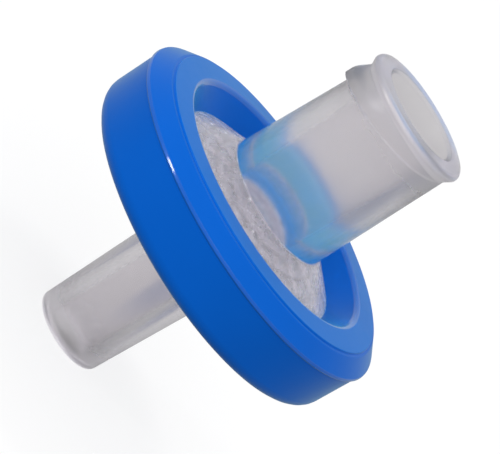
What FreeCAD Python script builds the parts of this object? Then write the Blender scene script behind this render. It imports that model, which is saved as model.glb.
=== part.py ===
"""Disposable 13 mm syringe filter, built as a parametric FreeCAD document.

Four pieces, all turned about the Z axis: an outlet housing with a male Luer slip tip, the
filter membrane lying on its drain grid, an inlet housing with a female Luer socket, and the
coloured ring that is moulded over the flanges of both housings and holds them together.

Millimetres, +Z up. The origin is the centre of the outlet tip's end face, on which the part
stands, so every level below is a height above that face.
"""

import FreeCAD, Part
import Sketcher
import os
import re

SIZES = (
    # alias, value (millimetres unless its meaning says otherwise), meaning
    ("luer_taper", 0.06, "diameter lost per millimetre of length on both Luer cones"),
    ("tip_diameter", 3.96, "male Luer tip at its end face"),
    ("tip_round", 0.2, "rounding of the tip's outer edge"),
    ("outlet_bore", 2.3, "bore through the outlet tube"),
    ("bore_round", 0.12, "rounding of the bore's edge at the tip"),
    ("outlet_tube_length", 8.35, "tip face to the underside of the outlet disc"),
    ("tube_foot_round", 0.35, "fillet where the outlet tube meets its disc"),
    ("outlet_disc_thickness", 1.2, "outlet disc, underside to membrane seat"),
    ("membrane_diameter", 13.0, "filter disc"),
    ("membrane_thickness", 0.15, "filter disc"),
    ("membrane_clearance", 0.05, "gap around the edge of the filter disc"),
    ("membrane_pinch", 1.35, "rim of the filter disc that the two flanges hold"),
    ("weld_width", 0.65, "flanges outside the membrane's pocket"),
    ("drain_depth", 0.3, "drain grooves below the membrane seat"),
    ("drain_width", 0.35, "drain grooves"),
    ("drain_first_radius", 2.1, "centre line of the innermost ring groove"),
    ("drain_pitch", 0.95, "spacing of the ring grooves"),
    ("drain_rings", 4, "count of ring grooves"),
    ("drain_spokes", 12, "count of radial grooves"),
    ("flange_thickness", 0.6, "inlet flange, membrane to overmould"),
    ("chamber_edge_height", 0.15, "height of the liquid chamber at its edge"),
    ("chamber_centre_height", 0.3, "height of the liquid chamber at the inlet passage"),
    ("rib_clearance", 0.08, "membrane to the underside of the flow ribs"),
    ("rib_width", 0.3, "flow ribs below the cover"),
    ("rib_first_radius", 2.0, "centre line of the innermost ring rib"),
    ("rib_pitch", 0.9, "spacing of the ring ribs"),
    ("rib_rings", 3, "count of ring ribs"),
    ("rib_spokes", 16, "count of radial ribs"),
    ("cover_margin", 0.1, "edge of the clear cover outside the chamber"),
    ("cover_rise", 1.1, "height of the conical cover, flange to hub"),
    ("socket_floor", 0.5, "plastic between the socket and the chamber"),
    ("socket_depth", 8.4, "female Luer cone"),
    ("socket_diameter", 4.3, "female Luer cone at its mouth"),
    ("mouth_chamfer", 0.13, "lead-in of the socket"),
    ("inlet_passage", 1.8, "passage from the socket to the chamber"),
    ("hub_wall", 0.78, "hub wall just below the flared rim, measured from the mouth's radius"),
    ("hub_draft", 0.17, "radius that the hub gains from there down to the cover"),
    ("rim_overhang", 0.21, "how far the flared rim stands out from the hub"),
    ("rim_height", 0.3, "straight part of the rim"),
    ("rim_flare", 0.4, "height over which the hub flares to the rim"),
    ("rim_round", 0.25, "rounding of the rim's outer edge"),
    ("thread_start", 1.19, "mouth face to the crest of the locking ridge where it starts"),
    ("thread_azimuth", 90.0, "degrees from +X round to that start, clockwise seen from above"),
    ("thread_lead", 2.65, "advance of the locking ridge in one turn"),
    ("thread_turns", 0.33, "length of the locking ridge in turns"),
    ("thread_growth", 15.0, "degrees by which the ridge leans out from the axis on its way down"),
    ("thread_height", 0.16, "locking ridge above the hub where it starts"),
    ("thread_crest", 0.2, "width of the locking ridge at its crest"),
    ("thread_lower_flank", 0.2, "height of the ridge's steep lower flank"),
    ("thread_upper_flank", 0.85, "height of the ridge's gentle upper flank"),
    ("thread_sink", 0.28, "depth of the ridge's root inside the hub wall where it starts"),
    ("ring_rear_wall", 0.68, "overmould behind the outlet disc"),
    ("ring_side_wall", 1.06, "overmould around the flanges, just behind the parting line"),
    ("ring_draft", 0.06, "radius that the side loses down to the rear edge"),
    ("ring_rear_round", 0.7, "rounding of the rear edge"),
    ("parting_height", 0.14, "parting line above the inlet flange"),
    ("parting_step", 0.09, "how far the front band stands proud of the side"),
    ("parting_run", 0.08, "height of the slope up to the front band"),
    ("front_band_height", 0.07, "straight part of the front band"),
    ("bevel_width", 0.78, "radius that the bevelled band loses"),
    ("bevel_height", 0.67, "height of the bevelled band"),
    ("face_step", 0.15, "step inwards from the bevel to the front face"),
    ("face_step_height", 0.1, "height of that step"),
    ("face_width", 1.25, "front face, from the step to the crest"),
    ("face_rise", 0.07, "height that the front face gains up to the crest"),
    ("crest_round", 0.25, "rounding of the crest's inner edge"),
    ("rear_face_width", 1.94, "flat rear face"),
    ("rear_slope_width", 0.6, "slope from the rear face in to the clear outlet disc"),
)

# Levels and radii that several pieces share, as formulas in the words of the sheet.
SEAT = "(outlet_tube_length + outlet_disc_thickness)"
JOINT = f"({SEAT} + membrane_thickness)"
FLANGE_TOP = f"({JOINT} + flange_thickness)"
POCKET_RADIUS = "(membrane_diameter / 2 + membrane_clearance)"
HOUSING_RADIUS = f"({POCKET_RADIUS} + weld_width)"
CHAMBER_RADIUS = "(membrane_diameter / 2 - membrane_pinch)"
COVER_RADIUS = f"({CHAMBER_RADIUS} + cover_margin)"
BORE_RADIUS = "(outlet_bore / 2)"
PASSAGE_RADIUS = "(inlet_passage / 2)"
SOCKET_FLOOR = f"({JOINT} + chamber_centre_height + socket_floor)"
MOUTH = f"({SOCKET_FLOOR} + socket_depth)"
HUB_RADIUS = "(socket_diameter / 2 + hub_wall)"
RIM_RADIUS = f"({HUB_RADIUS} + rim_overhang)"
RIB_FOOT = f"({JOINT} + rib_clearance)"
RIB_HEIGHT = "(chamber_centre_height - rib_clearance)"
SIDE_RADIUS = f"({HOUSING_RADIUS} + ring_side_wall)"
REAR_RADIUS = f"({SIDE_RADIUS} - ring_draft)"
REAR_FACE = "(outlet_tube_length - ring_rear_wall)"
REAR_FACE_RADIUS = f"({REAR_RADIUS} - rear_face_width)"
PARTING = f"({FLANGE_TOP} + parting_height)"
BAND_RADIUS = f"({SIDE_RADIUS} + parting_step)"
BAND_FOOT = f"({PARTING} + parting_run)"
BAND_TOP = f"({BAND_FOOT} + front_band_height)"
BEVEL_RADIUS = f"({BAND_RADIUS} - bevel_width)"
BEVEL_TOP = f"({BAND_TOP} + bevel_height)"
FACE_RADIUS = f"({BEVEL_RADIUS} - face_step)"
FACE_EDGE = f"({BEVEL_TOP} + face_step_height)"
CREST_RADIUS = f"({FACE_RADIUS} - face_width)"
CREST = f"({FACE_EDGE} + face_rise)"

doc = FreeCAD.newDocument("SyringeFilter")


def make_sheet():
    """Write the driving dimensions into the spreadsheet, one aliased cell each."""
    sheet = doc.addObject("Spreadsheet::Sheet", "Sizes")
    for row, (alias, value, meaning) in enumerate(SIZES, start=1):
        sheet.set(f"A{row}", alias)
        sheet.set(f"B{row}", str(value))
        sheet.set(f"C{row}", meaning)
        sheet.setAlias(f"B{row}", alias)
    doc.recompute()


def bound(formula):
    """Point each word of a formula at its cell of the spreadsheet."""
    return re.sub(r"[a-z_]{4,}", r"Sizes.\g<0>", formula)


def number(formula):
    """Work a formula out with the spreadsheet's present values."""
    return float(doc.Sizes.evalExpression(bound(formula)))


def count(formula):
    return int(round(number(formula)))


def new_body(name, label):
    body = doc.addObject("PartDesign::Body", name)
    body.Label = label
    return body


def new_sketch(body, name, role, level=None):
    """Attach a sketch to an origin plane of its body, lifted to a level if one is given."""
    sketch = body.newObject("Sketcher::SketchObject", name)
    plane = next(item for item in body.Origin.OriginFeatures if item.Role == role)
    sketch.AttachmentSupport = [(plane, "")]
    sketch.MapMode = "FlatFace"
    if level is not None:
        sketch.setExpression(".AttachmentOffset.Base.z", bound(level))
    return sketch


def outline(sketch, corners):
    """Draw a closed outline and tie both coordinates of every corner to their formulas."""
    places = [FreeCAD.Vector(number(across), number(along), 0) for across, along in corners]
    for start, end in zip(places, places[1:] + places[:1]):
        sketch.addGeometry(Part.LineSegment(start, end))
    for index, corner in enumerate(corners):
        previous = (index - 1) % len(corners)
        sketch.addConstraint(Sketcher.Constraint("Coincident", previous, 2, index, 1))
        for kind, formula in zip(("DistanceX", "DistanceY"), corner):
            rule = Sketcher.Constraint(kind, -1, 1, index, 1, number(formula))
            added = sketch.addConstraint(rule)
            sketch.setExpression(f"Constraints[{added}]", bound(formula))


def turned(body, name, corners, kind="PartDesign::Revolution"):
    """Turn an outline of (radius, level) corners about the Z axis, adding or cutting."""
    sketch = new_sketch(body, name + "Outline", "XZ_Plane")
    outline(sketch, corners)
    feature = body.newObject(kind, name)
    feature.Profile = sketch
    feature.ReferenceAxis = (sketch, ["V_Axis"])
    feature.Angle = 360
    doc.recompute()
    return feature


def band(centre, width, bottom, top):
    """Rectangular outline around a centre line."""
    inner = f"({centre}) - {width} / 2"
    outer = f"({centre}) + {width} / 2"
    return ((inner, bottom), (outer, bottom), (outer, top), (inner, top))


def ring_radius(first, pitch, index):
    return f"{first} + {index} * {pitch}"


def spokes(body, name, kind, level, start, end, width, depth, copies):
    """Radial bars at a level, padded upwards or pocketed downwards and repeated round Z."""
    sketch = new_sketch(body, name + "Outline", "XY_Plane", level)
    low, high = f"-{width} / 2", f"{width} / 2"
    outline(sketch, ((start, low), (end, low), (end, high), (start, high)))
    bar = body.newObject(kind, name)
    bar.Profile = sketch
    bar.setExpression("Length", bound(depth))
    doc.recompute()
    pattern = body.newObject("PartDesign::PolarPattern", name + "Pattern")
    pattern.Originals = [bar]
    pattern.Axis = (sketch, ["N_Axis"])
    pattern.Angle = 360
    pattern.setExpression("Occurrences", bound(copies))
    body.Tip = pattern
    doc.recompute()


def rounded(body, name, radius, level, size):
    """Fillet the circular edge that lies at a radius and a level."""
    base = body.Tip
    reach, height = number(radius), number(level)
    names = []
    for index, edge in enumerate(base.Shape.Edges, start=1):
        curve = edge.Curve
        if not isinstance(curve, Part.Circle):
            continue
        if abs(curve.Radius - reach) < 1e-4 and abs(curve.Center.z - height) < 1e-4:
            names.append(f"Edge{index}")
    if not names:
        raise RuntimeError(f"{name}: no edge at radius {reach}, level {height}")
    fillet = body.newObject("PartDesign::Fillet", name)
    fillet.Base = (base, names)
    fillet.setExpression("Radius", bound(size))
    doc.recompute()


def make_outlet_housing():
    """Disc with the membrane pocket and drain grid above, and the male Luer tube below."""
    body = new_body("OutletHousing", "outlet_housing")
    tube_top = "tip_diameter / 2 + luer_taper / 2 * outlet_tube_length"
    turned(body, "OutletTurned", (
        (BORE_RADIUS, "0"),
        ("tip_diameter / 2", "0"),
        (tube_top, "outlet_tube_length"),
        (HOUSING_RADIUS, "outlet_tube_length"),
        (HOUSING_RADIUS, JOINT),
        (POCKET_RADIUS, JOINT),
        (POCKET_RADIUS, SEAT),
        (BORE_RADIUS, SEAT),
    ))
    rounded(body, "TubeFootRound", tube_top, "outlet_tube_length", "tube_foot_round")
    rounded(body, "TipRound", "tip_diameter / 2", "0", "tip_round")
    rounded(body, "BoreRound", BORE_RADIUS, "0", "bore_round")
    drain_floor = f"{SEAT} - drain_depth"
    for index in range(count("drain_rings")):
        centre = ring_radius("drain_first_radius", "drain_pitch", index)
        turned(body, f"DrainRing{index}", band(centre, "drain_width", drain_floor, SEAT),
               "PartDesign::Groove")
    last_ring = ring_radius("drain_first_radius", "drain_pitch", "(drain_rings - 1)")
    spokes(body, "DrainSpoke", "PartDesign::Pocket", SEAT, f"{BORE_RADIUS} / 2", last_ring,
           "drain_width", "drain_depth", "drain_spokes")
    return body


def make_membrane():
    """Plain filter disc lying in its pocket."""
    body = new_body("FilterMembrane", "filter_membrane")
    sketch = new_sketch(body, "MembraneOutline", "XY_Plane", SEAT)
    radius = number("membrane_diameter / 2")
    sketch.addGeometry(Part.Circle(FreeCAD.Vector(0, 0, 0), FreeCAD.Vector(0, 0, 1), radius))
    sketch.addConstraint(Sketcher.Constraint("Coincident", 0, 3, -1, 1))
    rule = sketch.addConstraint(Sketcher.Constraint("Radius", 0, radius))
    sketch.setExpression(f"Constraints[{rule}]", bound("membrane_diameter / 2"))
    pad = body.newObject("PartDesign::Pad", "MembranePad")
    pad.Profile = sketch
    pad.setExpression("Length", bound("membrane_thickness"))
    doc.recompute()
    return body


def add_locking_ridge(body):
    """Right-handed locking ridge that grows out of the hub as it runs down from the rim."""
    root = f"{HUB_RADIUS} - thread_sink"
    crest = f"{HUB_RADIUS} + thread_height"
    level = f"({MOUTH} - thread_start)"
    sketch = new_sketch(body, "RidgeOutline", "XZ_Plane")
    sketch.AttachmentOffset = FreeCAD.Placement(
        FreeCAD.Vector(0, 0, 0), FreeCAD.Rotation(FreeCAD.Vector(0, 1, 0), 1))
    sketch.setExpression(".AttachmentOffset.Rotation.Angle", bound("-thread_azimuth"))
    outline(sketch, (
        (root, f"{level} - thread_lower_flank"),
        (crest, level),
        (crest, f"{level} + thread_crest"),
        (root, f"{level} + thread_crest + thread_upper_flank"),
    ))
    ridge = body.newObject("PartDesign::AdditiveHelix", "LockingRidge")
    ridge.Profile = sketch
    ridge.ReferenceAxis = (sketch, ["V_Axis"])
    ridge.Mode = "pitch-turns-angle"
    ridge.setExpression("Pitch", bound("thread_lead"))
    ridge.setExpression("Turns", bound("thread_turns"))
    ridge.setExpression("Angle", bound("thread_growth"))
    ridge.Reversed = True
    doc.recompute()


def make_inlet_housing():
    """Conical cover with flow ribs below and the female Luer hub above."""
    body = new_body("InletHousing", "inlet_housing")
    socket = "socket_diameter / 2 - luer_taper / 2"
    turned(body, "InletTurned", (
        (PASSAGE_RADIUS, f"{JOINT} + chamber_centre_height"),
        (CHAMBER_RADIUS, f"{JOINT} + chamber_edge_height"),
        (CHAMBER_RADIUS, JOINT),
        (HOUSING_RADIUS, JOINT),
        (HOUSING_RADIUS, FLANGE_TOP),
        (COVER_RADIUS, FLANGE_TOP),
        (f"{HUB_RADIUS} + hub_draft", f"{FLANGE_TOP} + cover_rise"),
        (HUB_RADIUS, f"{MOUTH} - rim_height - rim_flare"),
        (RIM_RADIUS, f"{MOUTH} - rim_height"),
        (RIM_RADIUS, MOUTH),
        ("socket_diameter / 2 + mouth_chamfer", MOUTH),
        (f"{socket} * mouth_chamfer", f"{MOUTH} - mouth_chamfer"),
        (f"{socket} * socket_depth", SOCKET_FLOOR),
        (PASSAGE_RADIUS, SOCKET_FLOOR),
    ))
    rounded(body, "RimRound", RIM_RADIUS, MOUTH, "rim_round")
    rib_top = f"{RIB_FOOT} + {RIB_HEIGHT}"
    for index in range(count("rib_rings")):
        centre = ring_radius("rib_first_radius", "rib_pitch", index)
        turned(body, f"RibRing{index}", band(centre, "rib_width", RIB_FOOT, rib_top))
    spokes(body, "RibSpoke", "PartDesign::Pad", RIB_FOOT, "rib_first_radius", COVER_RADIUS,
           "rib_width", RIB_HEIGHT, "rib_spokes")
    add_locking_ridge(body)
    return body


def make_overmould_ring():
    """Ring moulded over both flanges, with a parting line, a bevel and a sloped front face."""
    body = new_body("OvermouldRing", "overmould_ring")
    turned(body, "RingTurned", (
        (f"{REAR_FACE_RADIUS} - rear_slope_width", "outlet_tube_length"),
        (HOUSING_RADIUS, "outlet_tube_length"),
        (HOUSING_RADIUS, FLANGE_TOP),
        (COVER_RADIUS, FLANGE_TOP),
        (CREST_RADIUS, CREST),
        (FACE_RADIUS, FACE_EDGE),
        (FACE_RADIUS, BEVEL_TOP),
        (BEVEL_RADIUS, BEVEL_TOP),
        (BAND_RADIUS, BAND_TOP),
        (BAND_RADIUS, BAND_FOOT),
        (SIDE_RADIUS, PARTING),
        (REAR_RADIUS, REAR_FACE),
        (REAR_FACE_RADIUS, REAR_FACE),
    ))
    rounded(body, "RearRound", REAR_RADIUS, REAR_FACE, "ring_rear_round")
    rounded(body, "CrestRound", CREST_RADIUS, CREST, "crest_round")
    return body


def check_document(bodies):
    """Stop if any feature failed or any piece isn't one valid solid."""
    doc.recompute()
    for item in doc.Objects:
        if "Invalid" in item.State or "Error" in item.State:
            raise RuntimeError(f"{item.Label} failed: {item.State}")
    for body in bodies:
        if body.Shape.isNull() or not body.Shape.isValid() or len(body.Shape.Solids) != 1:
            raise RuntimeError(f"{body.Label} isn't one valid solid")


def export(bodies):
    os.makedirs("parts", exist_ok=True)
    for body in bodies:
        body.Shape.exportStep(f"parts/{body.Label}.step")
        box = body.Shape.BoundBox
        print(f"{body.Label}: {body.Shape.Volume:.2f} mm3, z {box.ZMin:.2f} to {box.ZMax:.2f}, "
              f"across {box.XLength:.2f}")


make_sheet()
pieces = [
    make_outlet_housing(),
    make_membrane(),
    make_inlet_housing(),
    make_overmould_ring(),
]
check_document(pieces)
export(pieces)
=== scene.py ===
"""Dressed model of a disposable syringe filter, laid out as a Blender add-on.

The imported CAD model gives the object's frame. Each piece is a turned surface worked out with
numpy: an outline of radius and level is carried round the Z axis on a grid, and ribs, drain
grooves and the locking ridge are added to that grid as formulas in radius, level and angle.
Lengths in the property groups are metres, written here as millimetres times MM.
"""

import math

import bmesh
import bpy
import numpy as np
from mathutils import Matrix, Vector


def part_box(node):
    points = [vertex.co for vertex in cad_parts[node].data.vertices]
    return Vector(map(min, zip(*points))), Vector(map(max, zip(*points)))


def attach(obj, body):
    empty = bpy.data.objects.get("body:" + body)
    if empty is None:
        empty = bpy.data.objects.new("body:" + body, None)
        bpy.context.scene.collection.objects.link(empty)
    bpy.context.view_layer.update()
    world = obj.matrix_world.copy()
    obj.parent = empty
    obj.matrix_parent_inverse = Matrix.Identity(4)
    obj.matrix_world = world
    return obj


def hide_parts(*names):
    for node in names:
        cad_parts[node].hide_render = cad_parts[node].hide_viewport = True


bl_info = {
    "name": "Syringe Filter",
    "version": (1, 0, 0),
    "blender": (4, 5, 0),
    "location": "View3D > Sidebar > Syringe Filter",
    "description": "Builds a dressed syringe filter with two clear housings, a membrane and a ring",
    "category": "Object",
}

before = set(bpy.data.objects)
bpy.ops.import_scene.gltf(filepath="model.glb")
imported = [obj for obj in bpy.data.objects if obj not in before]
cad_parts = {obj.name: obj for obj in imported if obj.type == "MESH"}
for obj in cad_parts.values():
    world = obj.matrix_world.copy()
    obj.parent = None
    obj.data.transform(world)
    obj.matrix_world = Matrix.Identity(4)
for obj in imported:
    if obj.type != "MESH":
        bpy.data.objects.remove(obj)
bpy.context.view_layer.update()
MM = 0.001
TIP_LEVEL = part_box("outlet_housing")[0].z
JOINT_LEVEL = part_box("inlet_housing")[0].z
MOUTH_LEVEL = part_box("inlet_housing")[1].z
SEAT_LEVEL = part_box("filter_membrane")[0].z
MEMBRANE_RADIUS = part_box("filter_membrane")[1].x
HOUSING_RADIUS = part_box("inlet_housing")[1].x
RING_FOOT, RING_CREST = (corner.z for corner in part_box("overmould_ring"))
RING_RADIUS = min(abs(corner[axis]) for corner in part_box("overmould_ring") for axis in (0, 1))
ON_FACE = 1e-7  # a grid point this near to a level or a radius lies on it
SKIN = 0.01 * MM  # how far a zone of a material reaches past the faces that it covers
DRAIN_ROWS = 110  # grid rows across the drain grooves
RIB_ROWS = 60  # grid rows across the flow ribs
RIDGE_ROWS = 38  # grid rows across the levels of the locking ridge
RIDGE_MARGIN = 0.3 * MM  # how far below the locking ridge the hub's fine rows end
SHADE_EDGES = (  # axis, and the places on it where the floor's shade starts and is full
    ("X", 0.0, 1.8 * MM),
    ("Y", 5.0 * MM, 16.0 * MM),
    ("Y", 42.0 * MM, 30.0 * MM),
)


# ---------------------------------------------------------------- properties

def length(name, default, description):
    """Property for a length, with its default in metres."""
    return bpy.props.FloatProperty(
        name=name, description=description, default=default, min=0.0, precision=5,
        subtype="DISTANCE", unit="LENGTH",
    )


def share(name, default, description):
    """Property for a number from 0 to 1."""
    return bpy.props.FloatProperty(
        name=name, description=description, default=default, min=0.0, max=1.0, subtype="FACTOR",
    )


def colour(name, default, description):
    """Property for a linear RGB colour."""
    return bpy.props.FloatVectorProperty(
        name=name, description=description, default=default, min=0.0, max=1.0, size=3,
        subtype="COLOR",
    )


def amount(name, default, description, least=0.0, **more):
    """Property for a plain number, not under the least one."""
    return bpy.props.FloatProperty(
        name=name, description=description, default=default, min=least, **more)


def count(name, default, description, least=1):
    """Property for a whole number, not under the least one."""
    return bpy.props.IntProperty(name=name, description=description, default=default, min=least)


def shift(name, default, description):
    """Property for a shift in space, in metres."""
    return bpy.props.FloatVectorProperty(
        name=name, description=description, default=default, size=3, subtype="TRANSLATION",
        unit="LENGTH",
    )


def turning(name, degrees, description):
    """Property for an angle, with its default in degrees."""
    return bpy.props.FloatProperty(
        name=name, description=description, default=math.radians(degrees),
        subtype="ANGLE", unit="ROTATION",
    )


class OutletSizes(bpy.types.PropertyGroup):
    """Sizes of the outlet housing."""
    tip_radius: length("Tip radius", 1.98 * MM, "Male Luer tip at its end face")
    tip_round: length("Tip rounding", 0.2 * MM, "Rounding of the tip's outer edge")
    bore_radius: length("Bore radius", 1.15 * MM, "Bore through the outlet tube")
    bore_round: length("Bore rounding", 0.12 * MM, "Rounding of the bore's edge")
    tube_length: length("Tube length", 8.35 * MM, "Tip face to the underside of the disc")
    foot_round: length("Foot rounding", 0.35 * MM, "Fillet where the tube meets its disc")
    pocket_gap: length("Pocket gap", 0.05 * MM, "Gap round the edge of the membrane")
    drain_depth: length("Drain depth", 0.3 * MM, "Depth of the drain grooves")
    drain_width: length("Drain width", 0.35 * MM, "Width of the drain grooves")
    drain_first: length("First drain", 2.1 * MM, "Radius of the innermost ring groove")
    drain_pitch: length("Drain pitch", 0.95 * MM, "Spacing of the ring grooves")
    drain_rings: count("Drain rings", 4, "Number of ring grooves")
    drain_spokes: count("Drain spokes", 12, "Number of radial grooves")
    joint_gap: length("Joint gap", 0.01 * MM, "Gap below the face of the inlet housing")


class InletSizes(bpy.types.PropertyGroup):
    """Sizes of the inlet housing."""
    flange: length("Flange", 0.6 * MM, "Thickness of the flange")
    chamber_radius: length("Chamber radius", 5.15 * MM, "Liquid chamber above the membrane")
    chamber_edge: length("Chamber edge", 0.15 * MM, "Height of the chamber at its edge")
    chamber_centre: length("Chamber centre", 0.3 * MM, "Height of the chamber at its centre")
    cover_radius: length("Cover radius", 5.25 * MM, "Clear cover inside the ring")
    cover_rise: length("Cover rise", 1.1 * MM, "Height of the conical cover")
    foot_round: length("Foot rounding", 0.12 * MM, "Fillet where the hub meets the cover")
    hub_radius: length("Hub radius", 2.93 * MM, "Hub just below the flared rim")
    hub_draft: length("Hub draft", 0.17 * MM, "Radius gained from there to the cover")
    rim_overhang: length("Rim overhang", 0.21 * MM, "How far the rim stands out")
    rim_height: length("Rim height", 0.3 * MM, "Straight part of the rim")
    rim_flare: length("Rim flare", 0.4 * MM, "Height over which the hub flares to the rim")
    rim_round: length("Rim rounding", 0.25 * MM, "Rounding of the rim's outer edge")
    rim_foot_round: length("Rim foot rounding", 0.1 * MM, "Rounding where the flare ends")
    flare_round: length("Flare rounding", 0.3 * MM, "Rounding where the flare starts")
    edge_round: length("Edge rounding", 0.04 * MM, "Rounding of the mouth and the passage")
    socket_radius: length("Socket radius", 2.15 * MM, "Female Luer cone at its mouth")
    socket_depth: length("Socket depth", 8.4 * MM, "Depth of the Luer cone")
    socket_round: length("Socket rounding", 0.1 * MM, "Rounding of the socket's floor edge")
    mouth_chamfer: length("Mouth chamfer", 0.13 * MM, "Lead-in of the socket")
    passage_radius: length("Passage radius", 0.9 * MM, "Passage to the chamber")
    rib_clearance: length("Rib clearance", 0.08 * MM, "Membrane to the flow ribs")
    rib_width: length("Rib width", 0.3 * MM, "Width of the flow ribs")
    rib_first: length("First rib", 2.0 * MM, "Radius of the innermost ring rib")
    rib_pitch: length("Rib pitch", 0.9 * MM, "Spacing of the ring ribs")
    rib_rings: count("Rib rings", 3, "Number of ring ribs")
    rib_spokes: count("Rib spokes", 16, "Number of radial ribs")
    ridge_start: length("Ridge start", 0.65 * MM, "Mouth to the lower edge of the ridge's start")
    ridge_lead: length("Ridge lead", 2.65 * MM, "Advance of the ridge in one turn")
    ridge_turns: share("Ridge turns", 0.62, "Length of the ridge in turns")
    ridge_height: length("Ridge height", 0.35 * MM, "Greatest height of the ridge above the hub")
    ridge_width: length("Ridge width", 1.5 * MM, "Width of the ridge at the hub")
    ridge_lower: share("Ridge lower flank", 0.1, "Part of its width over which it rises")
    ridge_upper: share("Ridge upper flank", 0.7, "Part of its width over which it falls away")
    ridge_growth: share("Ridge growth", 0.5, "Turns over which the ridge reaches its height")
    ridge_taper: share("Ridge taper", 0.02, "Turns over which the ridge ends")


class RingSizes(bpy.types.PropertyGroup):
    """Sizes of the overmoulded ring."""
    draft: length("Draft", 0.06 * MM, "Radius that the side loses down to the rear edge")
    rear_round: length("Rear rounding", 0.7 * MM, "Rounding of the rear edge")
    rear_inner_round: length("Inner rear rounding", 0.08 * MM, "Rounding of the inner rear edge")
    parting_level: length("Parting level", 10.44 * MM, "Height of the parting line")
    parting_step: length("Parting step", 0.09 * MM, "How far the front band stands proud")
    parting_run: length("Parting run", 0.08 * MM, "Height of the slope to the front band")
    band_height: length("Band height", 0.125 * MM, "Height of the front band")
    band_lean: length("Band lean", 0.031 * MM, "Radius that the band loses up to the bevel")
    bevel_width: length("Bevel width", 0.78 * MM, "Radius that the band and the bevel lose")
    bevel_height: length("Bevel height", 0.615 * MM, "Height of the bevel")
    bevel_round: length("Bevel rounding", 0.12 * MM, "Rounding of the bevel's upper edge")
    face_step: length("Face step", 0.15 * MM, "Step inwards to the front face")
    face_rise: length("Face rise", 0.07 * MM, "Height that the front face gains inwards")
    face_width: length("Face width", 1.25 * MM, "Front face, from the step to the crest")
    crest_round: length("Crest rounding", 0.25 * MM, "Rounding of the inner crest")
    edge_round: length("Edge rounding", 0.04 * MM, "Rounding of the small moulded edges")
    rear_width: length("Rear width", 1.94 * MM, "Flat rear face")
    rear_slope: length("Rear slope", 0.6 * MM, "Slope in to the clear disc")
    bond: length("Bond", 0.01 * MM, "How far the ring grips into the flanges it is bonded to")


class Finishes(bpy.types.PropertyGroup):
    """Colours, surface values and zones of the three materials."""
    clear_colour: colour("Clear colour", (0.977, 0.951, 0.972), "Natural polypropylene")
    clear_body: colour("Clear body", (0.90, 0.89, 0.91), "Tint of light inside the plastic")
    clear_transmission: share("Clear transmission", 0.97, "Light that passes through")
    clear_roughness: share("Clear roughness", 0.15, "Haze of the natural polypropylene")
    clear_density: amount("Clear density", 200.0, "Absorption per metre")
    plastic_ior: amount("Plastic IOR", 1.49, "Refractive index of polypropylene", least=1.0)
    rib_haze: share("Rib haze", 0.6, "Haze added on the ribs and the drain grooves")
    cover_haze: share("Cover haze", 0.12, "Haze added on the cover")
    end_haze: share("End haze", 0.15, "Haze added at the rim and the tip")
    rim_haze_start: length("Rim haze start", 2.9 * MM, "Mouth to where the rim's haze starts")
    rim_haze_full: length("Rim haze full", 1.3 * MM, "Mouth to where that haze is full")
    tip_haze_start: length("Tip haze start", 2.5 * MM, "Tip to where its haze starts")
    tip_haze_full: length("Tip haze full", 0.8 * MM, "Tip to where that haze is full")
    # painted light: the end faces glow with this colour though they are no lamp
    end_painted_glow: colour("End glow", (0.13, 0.125, 0.135), "Light scattered in the end faces")
    # painted highlights: tiny glints on the cover glow with this colour
    painted_glint_glow: colour("Glint glow", (0.45, 0.45, 0.45), "Tiny glints on the cover")
    ring_colour: colour("Ring colour", (0.001, 0.138, 0.71), "Blue polypropylene")
    ring_roughness: share("Ring roughness", 0.3, "Satin gloss of the ring")
    ring_specular: share("Ring specular", 0.07, "Strength of the ring's plain reflection")
    ring_sheen: share("Ring sheen", 0.2, "Soft light at grazing angles")
    ring_sheen_roughness: share("Ring sheen roughness", 0.4, "Spread of that soft light")
    ring_sheen_tint: colour("Ring sheen tint", (0.25, 1.0, 0.6), "Colour of that soft light")
    coat_roughness: share("Coat roughness", 0.1, "Blur of the glossy zones' reflection")
    band_gloss: share("Band gloss", 0.6, "Clear coat on the front band")
    brim_width: length("Brim width", 0.095 * MM, "Glossy edge of the front face, past the crest")
    brim_depth: length("Brim depth", 0.18 * MM, "How far that edge reaches below the crest")
    # painted light: from the crest down to the front depth, a colour added on the front face
    # lightens it
    front_depth: length("Front depth", 0.13 * MM, "Crest to the lower edge of the front tint")
    front_painted_light: colour("Front tint", (0.0, 0.028, 0.035), "Colour added on the front face")
    # painted glow: the bonded faces and the recess walls glow with these colours though they are no
    # lamp
    bonded_painted_glow: colour("Bonded glow", (0.03, 0.23, 0.33), "Light of the bonded faces")
    recess_painted_glow: colour("Recess glow", (0.085, 0.26, 0.13), "Light of the recess through plastic")
    recess_reach: length("Recess reach", 0.435 * MM, "How far past the crest the recess glows")
    membrane_colour: colour("Membrane colour", (0.885, 0.87, 0.93), "Filter sheet")
    # painted glow: the membrane glows by this share of its own colour
    membrane_painted_glow: share("Membrane glow", 0.15, "Light scattered in the filter sheet")


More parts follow.
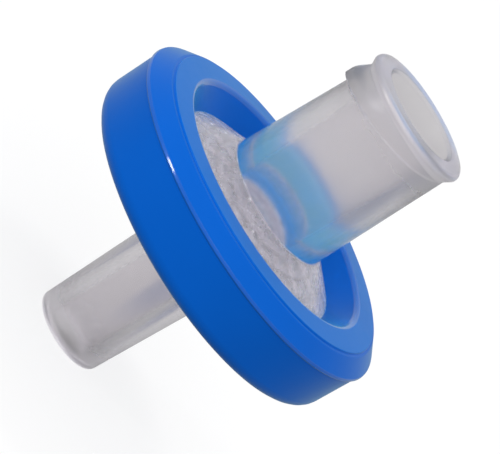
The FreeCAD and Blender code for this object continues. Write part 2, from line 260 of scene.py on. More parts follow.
class StageSettings(bpy.types.PropertyGroup):
    """Floor, backdrop, lamps and camera."""
    floor_radius: length("Floor radius", 1.5, "Radius of the floor")
    floor_steps: count("Floor steps", 96, "Grid steps round the floor", least=8)
    floor_colour: colour("Floor colour", (0.3, 0.3, 0.3), "Colour under the lamps and the world")
    floor_glow: amount("Floor glow", 0.78, "The floor's own even light, as the camera sees it")
    floor_share: share("Floor share", 0.36, "Part of its own light that bent rays see")
    floor_lean: bpy.props.FloatVectorProperty(
        name="Floor lean", description="Change of that part towards +X and +Y", size=3,
        default=(-0.11, 0.1, 0.0), subtype="XYZ")
    shade_colour: colour("Shade colour", (0.4, 0.47, 0.7), "Shade that clear plastic shows")
    world_strength: amount("World strength", 0.55, "Even light from all sides")
    world_share: share("World share", 0.2, "Part of the extra white that bent rays see")
    key_power: amount("Key power", 0.15, "Small lamp at the left", unit="POWER")
    key_size: length("Key size", 0.04, "Side of that lamp")
    key_place: shift("Key place", (-0.1925, -0.155, 0.035), "From the aimed point")
    fill_power: amount("Fill power", 0.16, "Large soft lamp in front", unit="POWER")
    fill_size: length("Fill size", 0.2, "Side of that lamp")
    fill_place: shift("Fill place", (0.026, -0.208, 0.1508), "From the aimed point")
    top_power: amount("Top power", 0.1, "Lamp above and behind", unit="POWER")
    top_size: length("Top size", 0.08, "Side of that lamp")
    top_place: shift("Top place", (-0.026, 0.104, 0.2366), "From the aimed point")
    camera_distance: length("Camera distance", 138.9 * MM, "Camera to the middle of the object")
    camera_elevation: turning("Camera elevation", 17.35, "Camera above the plane of the disc")
    camera_roll: turning("Camera roll", 31.43, "Angle of the axis above the view's horizontal")
    camera_lens: amount("Lens", 230.4, "Focal length on a 36 mm sensor", 1.0, unit="CAMERA")
    aim_level: length("Aim level", 9.92 * MM, "Level on the axis beside the centre of the view")
    aim_rise: length("Aim rise", 0.304 * MM, "How far that point lies above the centre")


class FilterSettings(bpy.types.PropertyGroup):
    """All settings of the syringe filter."""
    outlet: bpy.props.PointerProperty(type=OutletSizes, name="Outlet housing")
    inlet: bpy.props.PointerProperty(type=InletSizes, name="Inlet housing")
    ring: bpy.props.PointerProperty(type=RingSizes, name="Ring")
    finishes: bpy.props.PointerProperty(type=Finishes, name="Finishes")
    stage: bpy.props.PointerProperty(type=StageSettings, name="Stage")
    luer_taper: bpy.props.FloatProperty(
        name="Luer taper", description="Diameter lost per length on both cones", default=0.06)
    steps_around: count("Steps around", 384, "Grid steps round the axis", least=48)
    membrane_gap: length("Membrane gap", 0.01 * MM, "Gap between the membrane and the housings")
    membrane_steps: count("Membrane steps", 128, "Grid steps round the membrane", least=8)


# ---------------------------------------------------------------- turned surfaces

def rounded_outline(corners, arc_rows=7, guard=0.015 * MM, guard_share=0.2):
    """Closed outline through corners of (radius, level, rounding, rows).

    A rounded corner is the arc that touches both of its sides: it starts and ends at
    rounding / tan(half angle) from the corner, and its centre lies on the bisector at
    rounding / sin(half angle). The side that starts at a corner is divided into that corner's
    rows, with one more row close to each of its ends, so that flat faces shade flat. That row
    is the guard from the end, or the guard share of a short side.
    """
    spots = np.array([corner[:2] for corner in corners])
    arcs = []
    for index, (radius, level, rounding, rows) in enumerate(corners):
        spot = spots[index]
        back = spots[index - 1] - spot
        ahead = spots[(index + 1) % len(spots)] - spot
        back, ahead = back / np.linalg.norm(back), ahead / np.linalg.norm(ahead)
        if rounding == 0.0:
            arcs.append(spot[None, :])
            continue
        half = math.acos(float(back @ ahead)) / 2
        middle = (back + ahead) / np.linalg.norm(back + ahead) * rounding / math.sin(half)
        start = back * rounding / math.tan(half) - middle
        end = ahead * rounding / math.tan(half) - middle
        sweep = math.pi - 2 * half
        along = np.linspace(0.0, 1.0, arc_rows)[:, None]
        arc = (np.sin((1 - along) * sweep) * start + np.sin(along * sweep) * end) / math.sin(sweep)
        arcs.append(spot + middle + arc)
    lines = []
    for index, arc in enumerate(arcs):
        start, end = arc[-1], arcs[(index + 1) % len(arcs)][0]
        side = np.linalg.norm(end - start)
        margin = min(guard / side, guard_share)
        even = np.linspace(margin, 1 - margin, corners[index][3] + 1)[:, None]
        lines += [arc, start + (end - start) * even]
    return np.concatenate(lines)


def round_grid(outline, around):
    """Radius, level and angle arrays of an outline carried round the axis."""
    angle = np.linspace(0.0, 2 * np.pi, around, endpoint=False)
    radius = np.repeat(outline[:, :1], around, axis=1)
    level = np.repeat(outline[:, 1:], around, axis=1)
    return radius, level, np.broadcast_to(angle, radius.shape)


def make_piece(name, radius, level, angle, closed=True):
    """Mesh object of a grid that runs round the axis.

    Each point lies at (radius cos angle, radius sin angle, level). Each face joins a point to
    the next angle, the next row and the point between, which faces outwards for an outline
    that runs anticlockwise. A closed outline joins its last row to its first. An open one
    starts and ends on the axis, where its points are merged into a pole.
    """
    rows, around = radius.shape
    points = np.stack([radius * np.cos(angle), radius * np.sin(angle), level], axis=-1)
    first = np.arange(rows * around).reshape(rows, around)
    beside = np.roll(first, -1, axis=1)
    faces = np.stack([first, beside, np.roll(beside, -1, axis=0), np.roll(first, -1, axis=0)], -1)
    if not closed:
        faces = faces[:-1]
    faces = faces.reshape(-1, 4).astype(np.int32)
    mesh = bpy.data.meshes.new(name)
    mesh.vertices.add(rows * around)
    mesh.vertices.foreach_set("co", points.astype(np.float32).ravel())
    mesh.loops.add(faces.size)
    mesh.loops.foreach_set("vertex_index", faces.ravel())
    mesh.polygons.add(len(faces))
    mesh.polygons.foreach_set("loop_start", np.arange(0, faces.size, 4, dtype=np.int32))
    mesh.update(calc_edges=True)
    if not closed:
        merge_poles(mesh)
    mesh.validate()
    mesh.shade_smooth()
    piece = bpy.data.objects.new(name, mesh)
    bpy.context.scene.collection.objects.link(piece)
    return piece


def merge_poles(mesh, reach=1e-8):
    """Merge the points that lie together on the axis."""
    grid = bmesh.new()
    grid.from_mesh(mesh)
    bmesh.ops.remove_doubles(grid, verts=grid.verts, dist=reach)
    grid.to_mesh(mesh)
    grid.free()


def soft_step(value):
    """Smooth step: 0 below 0, 1 above 1, and 3 v^2 - 2 v^3 between."""
    value = np.clip(value, 0.0, 1.0)
    return value * value * (3 - 2 * value)


def bar_mask(distance, width, ramp=0.12 * MM):
    """1 within half the width of a bar's centre line and 0 beyond, with a short ramp."""
    return soft_step((width / 2 - np.abs(distance)) / ramp + 0.5)


def grid_mask(radius, angle, width, first, pitch, rings, spokes, start, end, fade=0.05 * MM):
    """Mask of concentric rings and radial spokes, both of the same width.

    A ring's distance is the radius less its own radius. A spoke's distance is the radius
    times the sine of the angle to the nearest spoke. Spokes fade in past the start radius and
    out before the end radius.
    """
    own = first + pitch * np.clip(np.round((radius - first) / pitch), 0, rings - 1)
    ring = bar_mask(radius - own, width)
    step = 2 * np.pi / spokes
    off = (angle + step / 2) % step - step / 2
    spoke = bar_mask(radius * np.sin(off), width)
    inside = soft_step((radius - start) / fade) * soft_step((end - radius) / fade)
    return np.maximum(ring, spoke * inside)


# ---------------------------------------------------------------- materials

def add_node(tree, kind, inputs=(), **settings):
    """Add a node, set its attributes, and set its inputs by (socket, value) pairs."""
    node = tree.nodes.new(kind)
    for key, value in settings.items():
        setattr(node, key, value)
    for socket, value in inputs:
        if isinstance(value, bpy.types.NodeSocket):
            tree.links.new(value, node.inputs[socket])
        else:
            node.inputs[socket].default_value = value
    return node


def add_math(tree, operation, *values, clamp=False):
    """Result of a new math node with these inputs."""
    return add_node(tree, "ShaderNodeMath", enumerate(values), operation=operation,
                    use_clamp=clamp).outputs[0]


def add_vector(tree, operation, *values):
    """Result of a new vector math node with these inputs."""
    return add_node(tree, "ShaderNodeVectorMath", enumerate(values),
                    operation=operation).outputs[0]


def add_ramp(tree, value, start, end, **settings):
    """Ramp from 0 where the value is at the start to 1 where it is at the end."""
    return add_node(tree, "ShaderNodeMapRange", [
        ("Value", value), ("From Min", start), ("From Max", end)], **settings).outputs[0]


def object_place(tree):
    """Object coordinates, the level, and the square of the distance from the axis."""
    place = add_node(tree, "ShaderNodeTexCoord").outputs["Object"]
    spot = add_node(tree, "ShaderNodeSeparateXYZ", [(0, place)]).outputs
    across = add_math(tree, "MULTIPLY", spot["X"], spot["X"])
    across = add_math(tree, "MULTIPLY_ADD", spot["Y"], spot["Y"], across)
    return place, spot["Z"], across


def zone(tree, level, across, above=None, below=None, inside=None, outside=None):
    """1 between two levels and two radii, and 0 elsewhere.

    The distance from the axis comes as its square, so the radii are squared too. A limit that
    isn't given doesn't count.
    """
    mask = None
    for test, value, limit, power in (
        ("GREATER_THAN", level, above, 1), ("LESS_THAN", level, below, 1),
        ("LESS_THAN", across, inside, 2), ("GREATER_THAN", across, outside, 2),
    ):
        if limit is not None:
            passed = add_math(tree, test, value, limit ** power)
            mask = passed if mask is None else add_math(tree, "MULTIPLY", mask, passed)
    return mask


# these spots mark where the cover's painted glints glow
def painted_glint_spots(tree, place, scale=1600.0, core=0.06, edge=0.16, lit=0.3):
    """Mask of tiny soft spots at the centres of the lit share of a pattern's cells."""
    cells = add_node(tree, "ShaderNodeTexVoronoi", [("Vector", place), ("Scale", scale)]).outputs
    near = add_ramp(tree, cells["Distance"], edge, core)
    pick = add_node(tree, "ShaderNodeSeparateXYZ", [(0, cells["Color"])]).outputs["X"]
    return add_math(tree, "MULTIPLY", near, add_math(tree, "GREATER_THAN", pick, 1 - lit))


def moulded_skin():
    """Node group of a moulded plastic's surface.

    Clouding lightens and darkens the colour in soft patches of the cloud scale, the haze change
    makes the roughness uneven, and the ripple is a fine bump left by the mould.
    """
    if "Moulded Skin" in bpy.data.node_groups:
        return bpy.data.node_groups["Moulded Skin"]
    tree = bpy.data.node_groups.new("Moulded Skin", "ShaderNodeTree")
    face = tree.interface
    face.new_socket("Colour", in_out="INPUT", socket_type="NodeSocketColor")
    for name in ("Clouding", "Cloud Scale", "Roughness", "Haze Change", "Ripple", "Ripple Scale"):
        face.new_socket(name, in_out="INPUT", socket_type="NodeSocketFloat")
    face.new_socket("Colour", in_out="OUTPUT", socket_type="NodeSocketColor")
    face.new_socket("Roughness", in_out="OUTPUT", socket_type="NodeSocketFloat")
    face.new_socket("Normal", in_out="OUTPUT", socket_type="NodeSocketVector")
    given = tree.nodes.new("NodeGroupInput").outputs
    place = add_node(tree, "ShaderNodeTexCoord").outputs["Object"]
    cloud = add_node(tree, "ShaderNodeTexNoise", [
        ("Vector", place), ("Scale", given["Cloud Scale"]), ("Detail", 3.0)]).outputs["Fac"]
    swing = add_math(tree, "MULTIPLY_ADD", cloud, 2.0, -1.0)
    lift = add_math(tree, "MULTIPLY_ADD", swing, given["Clouding"], 1.0)
    tinted = add_vector(tree, "MULTIPLY", given["Colour"], lift)
    fine = add_node(tree, "ShaderNodeTexNoise", [
        ("Vector", place), ("Scale", given["Ripple Scale"]), ("Detail", 4.0)]).outputs["Fac"]
    uneven = add_math(tree, "MULTIPLY_ADD", fine, 2.0, -1.0)
    rough = add_math(tree, "MULTIPLY_ADD", uneven, given["Haze Change"], given["Roughness"],
                     clamp=True)
    bump = add_node(tree, "ShaderNodeBump", [
        ("Strength", 1.0), ("Distance", given["Ripple"]), ("Height", fine)]).outputs[0]
    out = tree.nodes.new("NodeGroupOutput").inputs
    tree.links.new(tinted, out["Colour"])
    tree.links.new(rough, out["Roughness"])
    tree.links.new(bump, out["Normal"])
    return tree


def new_material(name):
    """New material, its node tree, and the output node that is all the tree holds."""
    material = bpy.data.materials.new(name)
    material.use_nodes = True
    material.node_tree.nodes.clear()
    return material, material.node_tree, material.node_tree.nodes.new("ShaderNodeOutputMaterial")


def add_skin(tree, **values):
    """Place the moulded skin group and set its inputs by name."""
    return add_node(tree, "ShaderNodeGroup", node_tree=moulded_skin(), inputs=[
        (key.replace("_", " ").title(), value) for key, value in values.items()]).outputs


def clear_plastic(settings):
    """Natural polypropylene: clear enough to see through, with a milky haze.

    The haze grows towards the rim and the tip, and is stronger on the cover, the ribs and the
    drain grooves. The end faces have a faint painted glow and the cover has tiny painted
    glints, which stand for the light that milky plastic scatters.
    """
    finishes, inlet = settings.finishes, settings.inlet
    material, tree, out = new_material("natural_polypropylene")
    place, level, across = object_place(tree)
    ribbed = zone(tree, level, across, above=SEAT_LEVEL + SKIN,
                  below=JOINT_LEVEL + inlet.chamber_centre + SKIN,
                  inside=inlet.chamber_radius + SKIN)
    cover = zone(tree, level, across, above=JOINT_LEVEL + inlet.flange - SKIN,
                 outside=inlet.hub_radius + inlet.hub_draft + inlet.edge_round)
    mouth_face = zone(tree, level, across, above=MOUTH_LEVEL - inlet.rim_round - SKIN,
                      outside=inlet.socket_radius + inlet.mouth_chamfer + inlet.edge_round)
    tip_face = zone(tree, level, across, below=TIP_LEVEL + settings.outlet.tip_round)
    rim = add_ramp(tree, level, MOUTH_LEVEL - finishes.rim_haze_start,
                   MOUTH_LEVEL - finishes.rim_haze_full)
    tip = add_ramp(tree, level, TIP_LEVEL + finishes.tip_haze_start,
                   TIP_LEVEL + finishes.tip_haze_full)
    haze = add_math(tree, "MULTIPLY_ADD", add_math(tree, "MAXIMUM", rim, tip),
                    finishes.end_haze, finishes.clear_roughness)
    haze = add_math(tree, "MULTIPLY_ADD", cover, finishes.cover_haze, haze)
    haze = add_math(tree, "MULTIPLY_ADD", ribbed, finishes.rib_haze, haze)
    # painted glow on the rim's face and the tip's end, standing for light scattered there
    glow = add_vector(tree, "MULTIPLY", finishes.end_painted_glow,
                      add_math(tree, "MAXIMUM", mouth_face, tip_face))
    # painted glints: tiny glowing spots on the cover
    painted_glint = add_math(tree, "MULTIPLY", painted_glint_spots(tree, place), cover)
    glow = add_vector(tree, "MULTIPLY_ADD", finishes.painted_glint_glow, painted_glint, glow)
    skin = add_skin(tree, colour=(*finishes.clear_colour, 1.0), clouding=0.03, cloud_scale=400.0,
                    roughness=haze, haze_change=0.03,
                    ripple=0.0015 * MM, ripple_scale=1800.0)
    shader = add_node(tree, "ShaderNodeBsdfPrincipled", [
        ("Base Color", skin["Colour"]),
        ("Roughness", skin["Roughness"]),
        ("Normal", skin["Normal"]),
        ("IOR", finishes.plastic_ior),
        ("Transmission Weight", finishes.clear_transmission),
        ("Emission Color", glow),
        ("Emission Strength", 1.0),
    ])
    body = add_node(tree, "ShaderNodeVolumeAbsorption", [
        ("Color", (*finishes.clear_body, 1.0)), ("Density", finishes.clear_density)])
    tree.links.new(shader.outputs[0], out.inputs["Surface"])
    tree.links.new(body.outputs[0], out.inputs["Volume"])
    return material


def clear_plastic_once(settings):
    """The natural polypropylene, made the first time that a housing asks for it."""
    made = bpy.data.materials.get("natural_polypropylene dressed")
    if made is None:
        made = clear_plastic(settings)
        made.name = "natural_polypropylene dressed"
    return made


def blue_plastic(settings):
    """Blue polypropylene: opaque, satin, faintly uneven in colour.

    The front band and the inner edge of the front face are glossier, and painted light makes
    the front face a little lighter and greener. The faces bonded to the clear flanges have a
    faint painted glow, which stands for the light that the hazy flanges carry to them, and the
    walls of the recess have a painted glow that only rays through the clear plastic see.
    """
    finishes, ring = settings.finishes, settings.ring
    material, tree, out = new_material("blue_polypropylene")
    skin = add_skin(tree, colour=(*finishes.ring_colour, 1.0), clouding=0.05, cloud_scale=260.0,
                    roughness=finishes.ring_roughness, haze_change=0.05,
                    ripple=0.003 * MM, ripple_scale=1400.0)
    _, level, across = object_place(tree)
    band_foot = ring.parting_level + ring.parting_run
    band_top = band_foot + ring.band_height
    crest = RING_RADIUS - ring.bevel_width - ring.face_step - ring.face_width
    flange_top = JOINT_LEVEL + settings.inlet.flange
    band = zone(tree, level, across, above=band_foot - 2 * SKIN, below=band_top + 1.5 * SKIN,
                outside=HOUSING_RADIUS)
    brim = zone(tree, level, across, above=RING_CREST - finishes.brim_depth,
                inside=crest + finishes.brim_width)
    glossy = add_math(tree, "MAXIMUM", add_math(tree, "MULTIPLY", band, finishes.band_gloss), brim)
    # painted light: colour added on the front face makes it lighter and greener
    front = zone(tree, level, across, above=RING_CREST - finishes.front_depth)
    tint = add_vector(tree, "MULTIPLY_ADD", finishes.front_painted_light, front, skin["Colour"])
    # painted glow on the faces bonded to the flanges, standing for light that the hazy flanges
    # carry
    bonded = zone(tree, level, across, below=flange_top, inside=HOUSING_RADIUS + SKIN,
                  above=TIP_LEVEL + settings.outlet.tube_length + ring.bond / 2)
    # painted glow on the walls of the recess, seen only by rays through the clear plastic
    recess = zone(tree, level, across, above=flange_top, inside=crest + finishes.recess_reach)
    through = add_node(tree, "ShaderNodeLightPath").outputs["Is Transmission Ray"]
    recess = add_math(tree, "MULTIPLY", recess, through)
    glow = add_vector(tree, "MULTIPLY", finishes.bonded_painted_glow, bonded)
    glow = add_vector(tree, "MULTIPLY_ADD", finishes.recess_painted_glow, recess, glow)
    shader = add_node(tree, "ShaderNodeBsdfPrincipled", [
        ("Base Color", tint),
        ("Roughness", skin["Roughness"]),
        ("Normal", skin["Normal"]),
        ("IOR", finishes.plastic_ior),
        ("Specular IOR Level", finishes.ring_specular),
        ("Sheen Weight", finishes.ring_sheen),
        ("Sheen Roughness", finishes.ring_sheen_roughness),
        ("Sheen Tint", (*finishes.ring_sheen_tint, 1.0)),
        ("Coat Weight", glossy),
        ("Coat Roughness", finishes.coat_roughness),
        ("Emission Color", glow),
        ("Emission Strength", 1.0),
    ])
    tree.links.new(shader.outputs[0], out.inputs["Surface"])
    return material


def filter_sheet(finishes):
    """Membrane: matt white with a fine fibrous grain."""
    material, tree, out = new_material("filter_sheet")
    skin = add_skin(tree, colour=(*finishes.membrane_colour, 1.0), clouding=0.04,
                    cloud_scale=900.0, roughness=0.85, haze_change=0.05,
                    ripple=0.01 * MM, ripple_scale=6000.0)
    shader = add_node(tree, "ShaderNodeBsdfPrincipled", [
        ("Base Color", skin["Colour"]),
        ("Roughness", skin["Roughness"]),
        ("Normal", skin["Normal"]),
        # painted glow: the sheet emits its own colour, standing for light scattered in it
        ("Emission Color", (*finishes.membrane_colour, 1.0)),
        ("Emission Strength", finishes.membrane_painted_glow),
    ])
    tree.links.new(shader.outputs[0], out.inputs["Surface"])
    return material


def dress(piece, material, node):
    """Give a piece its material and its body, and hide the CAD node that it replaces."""
    piece.data.materials.append(material)
    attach(piece, "root")
    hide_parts(node)


# ---------------------------------------------------------------- operators

class SYRINGE_FILTER_OT_outlet_housing(bpy.types.Operator):
    """Build the outlet housing: Luer slip tube and disc with drain grooves"""
    bl_idname = "syringe_filter.outlet_housing"
    bl_label = "Outlet housing"

    def execute(self, context):
        settings = context.scene.syringe_filter
        size = settings.outlet
        underside = TIP_LEVEL + size.tube_length
        pocket = MEMBRANE_RADIUS + size.pocket_gap
        tube_top = size.tip_radius + settings.luer_taper / 2 * size.tube_length
        joint = JOINT_LEVEL - size.joint_gap
        outline = rounded_outline((
            (size.bore_radius, SEAT_LEVEL, 0.0, 24),
            (size.bore_radius, TIP_LEVEL, size.bore_round, 4),
            (size.tip_radius, TIP_LEVEL, size.tip_round, 24),
            (tube_top, underside, size.foot_round, 12),
            (HOUSING_RADIUS, underside, 0.0, 2),
            (HOUSING_RADIUS, joint, 0.0, 1),
            (pocket, joint, 0.0, 1),
            (pocket, SEAT_LEVEL, 0.0, DRAIN_ROWS),
        ))
        radius, level, angle = round_grid(outline, settings.steps_around)
        last = size.drain_first + size.drain_pitch * (size.drain_rings - 1)
        mask = grid_mask(radius, angle, size.drain_width, size.drain_first, size.drain_pitch,
                         size.drain_rings, size.drain_spokes, size.bore_radius, last)
        on_seat = np.abs(level - SEAT_LEVEL) < ON_FACE
        level = np.where(on_seat & (radius < pocket), level - size.drain_depth * mask, level)
        piece = make_piece("outlet_housing_clear", radius, level, angle)
        dress(piece, clear_plastic_once(settings), "outlet_housing")
        return {"FINISHED"}


class SYRINGE_FILTER_OT_membrane(bpy.types.Operator):
    """Build the filter membrane that lies between the housings"""
    bl_idname = "syringe_filter.membrane"
    bl_label = "Membrane"

    def execute(self, context):
        settings = context.scene.syringe_filter
        radius = MEMBRANE_RADIUS - settings.membrane_gap
        middle = radius / 2
        under = SEAT_LEVEL + settings.membrane_gap
        over = JOINT_LEVEL - settings.membrane_gap
        outline = np.array([
            (0.0, under), (middle, under), (radius, under),
            (radius, over), (middle, over), (0.0, over),
        ])
        grid = round_grid(outline, settings.membrane_steps)
        piece = make_piece("filter_membrane_sheet", *grid, closed=False)
        piece.data.shade_flat()
        dress(piece, filter_sheet(settings.finishes), "filter_membrane")
        return {"FINISHED"}


def ridge_rise(level, angle, size):
    """Height of the locking ridge above the hub at each level and angle.

    Its lower edge drops by the lead in one turn, clockwise from azimuth 0 seen from above. The
    ridge rises steeply from that edge and falls away gently over its width towards the rim. Its
    height grows from nothing at the start to all of it over the growth, and ends in a short
    taper.
    """
    turn = (-angle / (2 * np.pi)) % 1.0
    edge = MOUTH_LEVEL - size.ridge_start - size.ridge_lead * turn
    up = (level - edge) / size.ridge_width
    across = soft_step(up / size.ridge_lower) * soft_step((1.0 - up) / size.ridge_upper)
    along = soft_step(turn / size.ridge_growth)
    along = along * soft_step((size.ridge_turns - turn) / size.ridge_taper)
    return size.ridge_height * across * along


class SYRINGE_FILTER_OT_inlet_housing(bpy.types.Operator):
    """Build the inlet housing: flange, ribbed conical cover and Luer hub with its ridge"""
    bl_idname = "syringe_filter.inlet_housing"
    bl_label = "Inlet housing"

    def execute(self, context):
        settings = context.scene.syringe_filter
        size = settings.inlet
        taper = settings.luer_taper / 2
        floor = MOUTH_LEVEL - size.socket_depth
        flange_top = JOINT_LEVEL + size.flange
        ceiling = JOINT_LEVEL + size.chamber_centre
        edge = JOINT_LEVEL + size.chamber_edge
        rim = size.hub_radius + size.rim_overhang
        small = size.edge_round
        hub_foot = flange_top + size.cover_rise
        hub_top = MOUTH_LEVEL - size.rim_height - size.rim_flare
        ridge_drop = size.ridge_start + size.ridge_lead * size.ridge_turns
        fine_foot = MOUTH_LEVEL - ridge_drop - RIDGE_MARGIN
        drafted = size.hub_draft * (hub_top - fine_foot) / (hub_top - hub_foot)
        chamfer = size.mouth_chamfer
        outline = rounded_outline((
            (size.passage_radius, floor, small, 4),
            (size.passage_radius, ceiling, small, RIB_ROWS),
            (size.chamber_radius, edge, 0.0, 1),
            (size.chamber_radius, JOINT_LEVEL, 0.0, 2),
            (HOUSING_RADIUS, JOINT_LEVEL, 0.0, 1),
            (HOUSING_RADIUS, flange_top, 0.0, 1),
            (size.cover_radius, flange_top, 0.0, 16),
            (size.hub_radius + size.hub_draft, hub_foot, size.foot_round, 12),
            (size.hub_radius + drafted, fine_foot, 0.0, RIDGE_ROWS),
            (size.hub_radius, hub_top, size.flare_round, 10),
            (rim, MOUTH_LEVEL - size.rim_height, size.rim_foot_round, 4),
            (rim, MOUTH_LEVEL, size.rim_round, 4),
            (size.socket_radius + chamfer, MOUTH_LEVEL, small, 1),
            (size.socket_radius - taper * chamfer, MOUTH_LEVEL - chamfer, small, 12),
            (size.socket_radius - taper * size.socket_depth, floor, size.socket_round, 6),
        ))
        radius, level, angle = round_grid(outline, settings.steps_around)
        mask = grid_mask(radius, angle, size.rib_width, size.rib_first, size.rib_pitch,
                         size.rib_rings, size.rib_spokes, size.rib_first, size.chamber_radius)
        slope = (ceiling - edge) / (size.chamber_radius - size.passage_radius)
        underside = ceiling - slope * (radius - size.passage_radius)
        below = (np.abs(level - underside) < ON_FACE) & (radius < size.chamber_radius)
        drop = (underside - JOINT_LEVEL - size.rib_clearance) * mask
        level = np.where(below, level - drop, level)
        ridge = size.hub_radius + ridge_rise(level, angle, size)
        outside = (radius > size.hub_radius - ON_FACE) & (level > hub_foot)
        radius = np.where(outside, np.maximum(radius, ridge), radius)
        piece = make_piece("inlet_housing_clear", radius, level, angle)
        dress(piece, clear_plastic_once(settings), "inlet_housing")
        return {"FINISHED"}


class SYRINGE_FILTER_OT_ring(bpy.types.Operator):
    """Build the blue ring with its parting line, bevel and sloped face"""
    bl_idname = "syringe_filter.ring"
    bl_label = "Overmoulded ring"

    def execute(self, context):
        settings = context.scene.syringe_filter
        size, inlet = settings.ring, settings.inlet
        side = RING_RADIUS - size.parting_step
        rear = side - size.draft
        rear_inner = rear - size.rear_width
        band_foot = size.parting_level + size.parting_run
        band_top = band_foot + size.band_height
        bevel = RING_RADIUS - size.bevel_width
        bevel_top = band_top + size.bevel_height
        face = bevel - size.face_step
        crest = face - size.face_width
        disc = TIP_LEVEL + settings.outlet.tube_length + size.bond
        flange_top = JOINT_LEVEL + inlet.flange - size.bond
        grip = HOUSING_RADIUS - size.bond
        edge = size.edge_round
        outline = rounded_outline((
            (rear_inner - size.rear_slope, disc, 0.0, 1),
            (rear_inner, RING_FOOT, size.rear_inner_round, 3),
            (rear, RING_FOOT, size.rear_round, 12),
            (side, size.parting_level, edge, 1),
            (RING_RADIUS, band_foot, edge, 1),
            (RING_RADIUS - size.band_lean, band_top, edge, 6),
            (bevel, bevel_top, size.bevel_round, 1),
            (face, bevel_top, edge, 1),
            (face, RING_CREST - size.face_rise, edge, 8),
            (crest, RING_CREST, size.crest_round, 10),
            (inlet.cover_radius, flange_top, 0.0, 2),
            (grip, flange_top, 0.0, 2),
            (grip, disc, 0.0, 1),
        ))
        piece = make_piece("overmould_ring_blue", *round_grid(outline, settings.steps_around))
        dress(piece, blue_plastic(settings), "overmould_ring")
        return {"FINISHED"}


# ---------------------------------------------------------------- stage

def seen_directly(tree, bent_share):
    """1 for rays from the camera, a share for a reflection or a refraction, otherwise 0."""
    path = add_node(tree, "ShaderNodeLightPath").outputs
    bent = add_math(tree, "MAXIMUM", path["Is Glossy Ray"], path["Is Transmission Ray"])
    return add_math(tree, "MAXIMUM", path["Is Camera Ray"],
                    add_math(tree, "MULTIPLY", bent, bent_share))


def floor_material(stage):
    """Pale floor that looks white but keeps the object's soft shadow.

    Bent rays see less of its own light, and a little more of it to one side than to the other.
    Rays through the clear plastic also see a soft grey-blue shade, in a patch behind the tube.
    """
    material, tree, out = new_material("floor")
    base = add_node(tree, "ShaderNodeBsdfDiffuse", [("Color", (*stage.floor_colour, 1.0))])
    place = add_node(tree, "ShaderNodeTexCoord").outputs["Object"]
    side = add_node(tree, "ShaderNodeVectorMath", [
        (0, add_vector(tree, "NORMALIZE", place)), (1, stage.floor_lean)],
        operation="DOT_PRODUCT").outputs["Value"]
    seen = seen_directly(tree, add_math(tree, "ADD", side, stage.floor_share))
    spot = add_node(tree, "ShaderNodeSeparateXYZ", [(0, place)]).outputs
    shade = add_node(tree, "ShaderNodeLightPath").outputs["Is Transmission Ray"]
    for axis, start, full in SHADE_EDGES:
        edge = add_ramp(tree, spot[axis], start, full, interpolation_type="SMOOTHSTEP")
        shade = add_math(tree, "MULTIPLY", shade, edge)
    darker = [part - 1.0 for part in stage.shade_colour]
    glow = add_node(tree, "ShaderNodeEmission", [
        ("Color", add_vector(tree, "MULTIPLY_ADD", darker, shade, (1.0, 1.0, 1.0))),
        ("Strength", add_math(tree, "MULTIPLY", seen, stage.floor_glow))])
    both = add_node(tree, "ShaderNodeAddShader", [(0, base.outputs[0]), (1, glow.outputs[0])])
    tree.links.new(both.outputs[0], out.inputs["Surface"])
    return material


def add_world(context, stage):
    """Even white light, which bent rays see darker than the camera does."""
    world = bpy.data.worlds.new("studio")
    world.use_nodes = True
    tree = world.node_tree
    tree.nodes.clear()
    strength = add_math(tree, "MULTIPLY_ADD", seen_directly(tree, stage.world_share),
                        1.0 - stage.world_strength, stage.world_strength)
    sky = add_node(tree, "ShaderNodeBackground", [
        ("Color", (1.0, 1.0, 1.0, 1.0)), ("Strength", strength)])
    out = add_node(tree, "ShaderNodeOutputWorld")
    tree.links.new(sky.outputs[0], out.inputs["Surface"])
    context.scene.world = world


def add_lamp(name, power, size, away, target):
    """Square area lamp, this far away from a target that it faces."""
    lamp = bpy.data.lights.new(name, "AREA")
    lamp.energy = power
    lamp.size = size
    holder = bpy.data.objects.new(name, lamp)
    holder.location = target + Vector(away)
    holder.rotation_euler = (-Vector(away)).to_track_quat("-Z", "Y").to_euler()
    bpy.context.scene.collection.objects.link(holder)


def camera_axes(stage):
    """Camera's right, up and forward directions.

    Forward looks along +Y, tilted down by the elevation. Right and up are turned about forward
    so far that the object's axis lies at the roll above the view's horizontal.
    """
    tilt, roll = stage.camera_elevation, stage.camera_roll
    forward = Vector((0.0, math.cos(tilt), -math.sin(tilt)))
    raised = Vector((0.0, math.sin(tilt), math.cos(tilt)))
    across = Vector((1.0, 0.0, 0.0))
    right = across * math.sin(roll) + raised * math.cos(roll)
    up = raised * math.sin(roll) - across * math.cos(roll)
    return right, up, forward


def add_camera(context, stage, target):
    """Camera that has the target just above the centre of its view."""
    right, up, forward = camera_axes(stage)
    lens = bpy.data.cameras.new("camera")
    lens.sensor_width = 36.0
    lens.lens = stage.camera_lens
    lens.clip_start = 0.005
    lens.clip_end = 5.0
    camera = bpy.data.objects.new("camera", lens)
    turn = Matrix((right, up, -forward)).transposed().to_4x4()
    place = target - forward * stage.camera_distance - up * stage.aim_rise
    camera.matrix_world = Matrix.Translation(place) @ turn
    context.scene.collection.objects.link(camera)
    context.scene.camera = camera


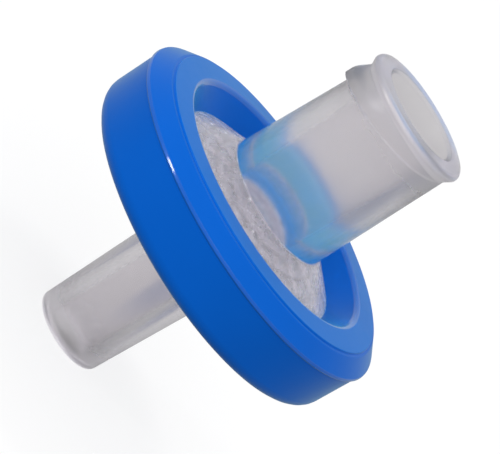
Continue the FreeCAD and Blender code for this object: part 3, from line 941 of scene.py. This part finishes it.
class SYRINGE_FILTER_OT_stage(bpy.types.Operator):
    """Build the floor, the lamps, the world and the camera"""
    bl_idname = "syringe_filter.stage"
    bl_label = "Stage"

    def execute(self, context):
        stage = context.scene.syringe_filter.stage
        target = Vector((0.0, 0.0, stage.aim_level))
        outline = np.array([(stage.floor_radius, TIP_LEVEL), (0.0, TIP_LEVEL)])
        floor = make_piece("floor", *round_grid(outline, stage.floor_steps), closed=False)
        floor.data.materials.append(floor_material(stage))
        add_lamp("key", stage.key_power, stage.key_size, stage.key_place, target)
        add_lamp("fill", stage.fill_power, stage.fill_size, stage.fill_place, target)
        add_lamp("top", stage.top_power, stage.top_size, stage.top_place, target)
        add_world(context, stage)
        add_camera(context, stage, target)
        context.scene.view_settings.view_transform = "Standard"
        return {"FINISHED"}


# ---------------------------------------------------------------- panel and registration

OPERATORS = (
    SYRINGE_FILTER_OT_outlet_housing,
    SYRINGE_FILTER_OT_membrane,
    SYRINGE_FILTER_OT_inlet_housing,
    SYRINGE_FILTER_OT_ring,
    SYRINGE_FILTER_OT_stage,
)
GROUPS = (OutletSizes, InletSizes, RingSizes, Finishes, StageSettings, FilterSettings)


class SYRINGE_FILTER_PT_panel(bpy.types.Panel):
    """Settings and build buttons of the syringe filter"""
    bl_idname = "SYRINGE_FILTER_PT_panel"
    bl_label = "Syringe Filter"
    bl_space_type = "VIEW_3D"
    bl_region_type = "UI"
    bl_category = "Syringe Filter"

    def draw(self, context):
        settings = context.scene.syringe_filter
        column = self.layout.column()
        for key in ("luer_taper", "steps_around", "membrane_gap", "membrane_steps"):
            column.prop(settings, key)
        for part in ("outlet", "inlet", "ring", "finishes", "stage"):
            box = self.layout.box()
            box.label(text=part.title())
            group = getattr(settings, part)
            for key in group.__annotations__:
                box.prop(group, key)
        for operator in OPERATORS:
            self.layout.operator(operator.bl_idname)


def register():
    """Register every class and put the settings on the scene."""
    for item in (*GROUPS, *OPERATORS, SYRINGE_FILTER_PT_panel):
        bpy.utils.register_class(item)
    bpy.types.Scene.syringe_filter = bpy.props.PointerProperty(type=FilterSettings)


def unregister():
    """Undo what register does."""
    del bpy.types.Scene.syringe_filter
    for item in reversed((*GROUPS, *OPERATORS, SYRINGE_FILTER_PT_panel)):
        bpy.utils.unregister_class(item)


def main():
    register()
    bpy.ops.syringe_filter.outlet_housing()
    bpy.ops.syringe_filter.membrane()
    bpy.ops.syringe_filter.inlet_housing()
    bpy.ops.syringe_filter.ring()
    bpy.ops.syringe_filter.stage()


if __name__ == "__main__":
    main()
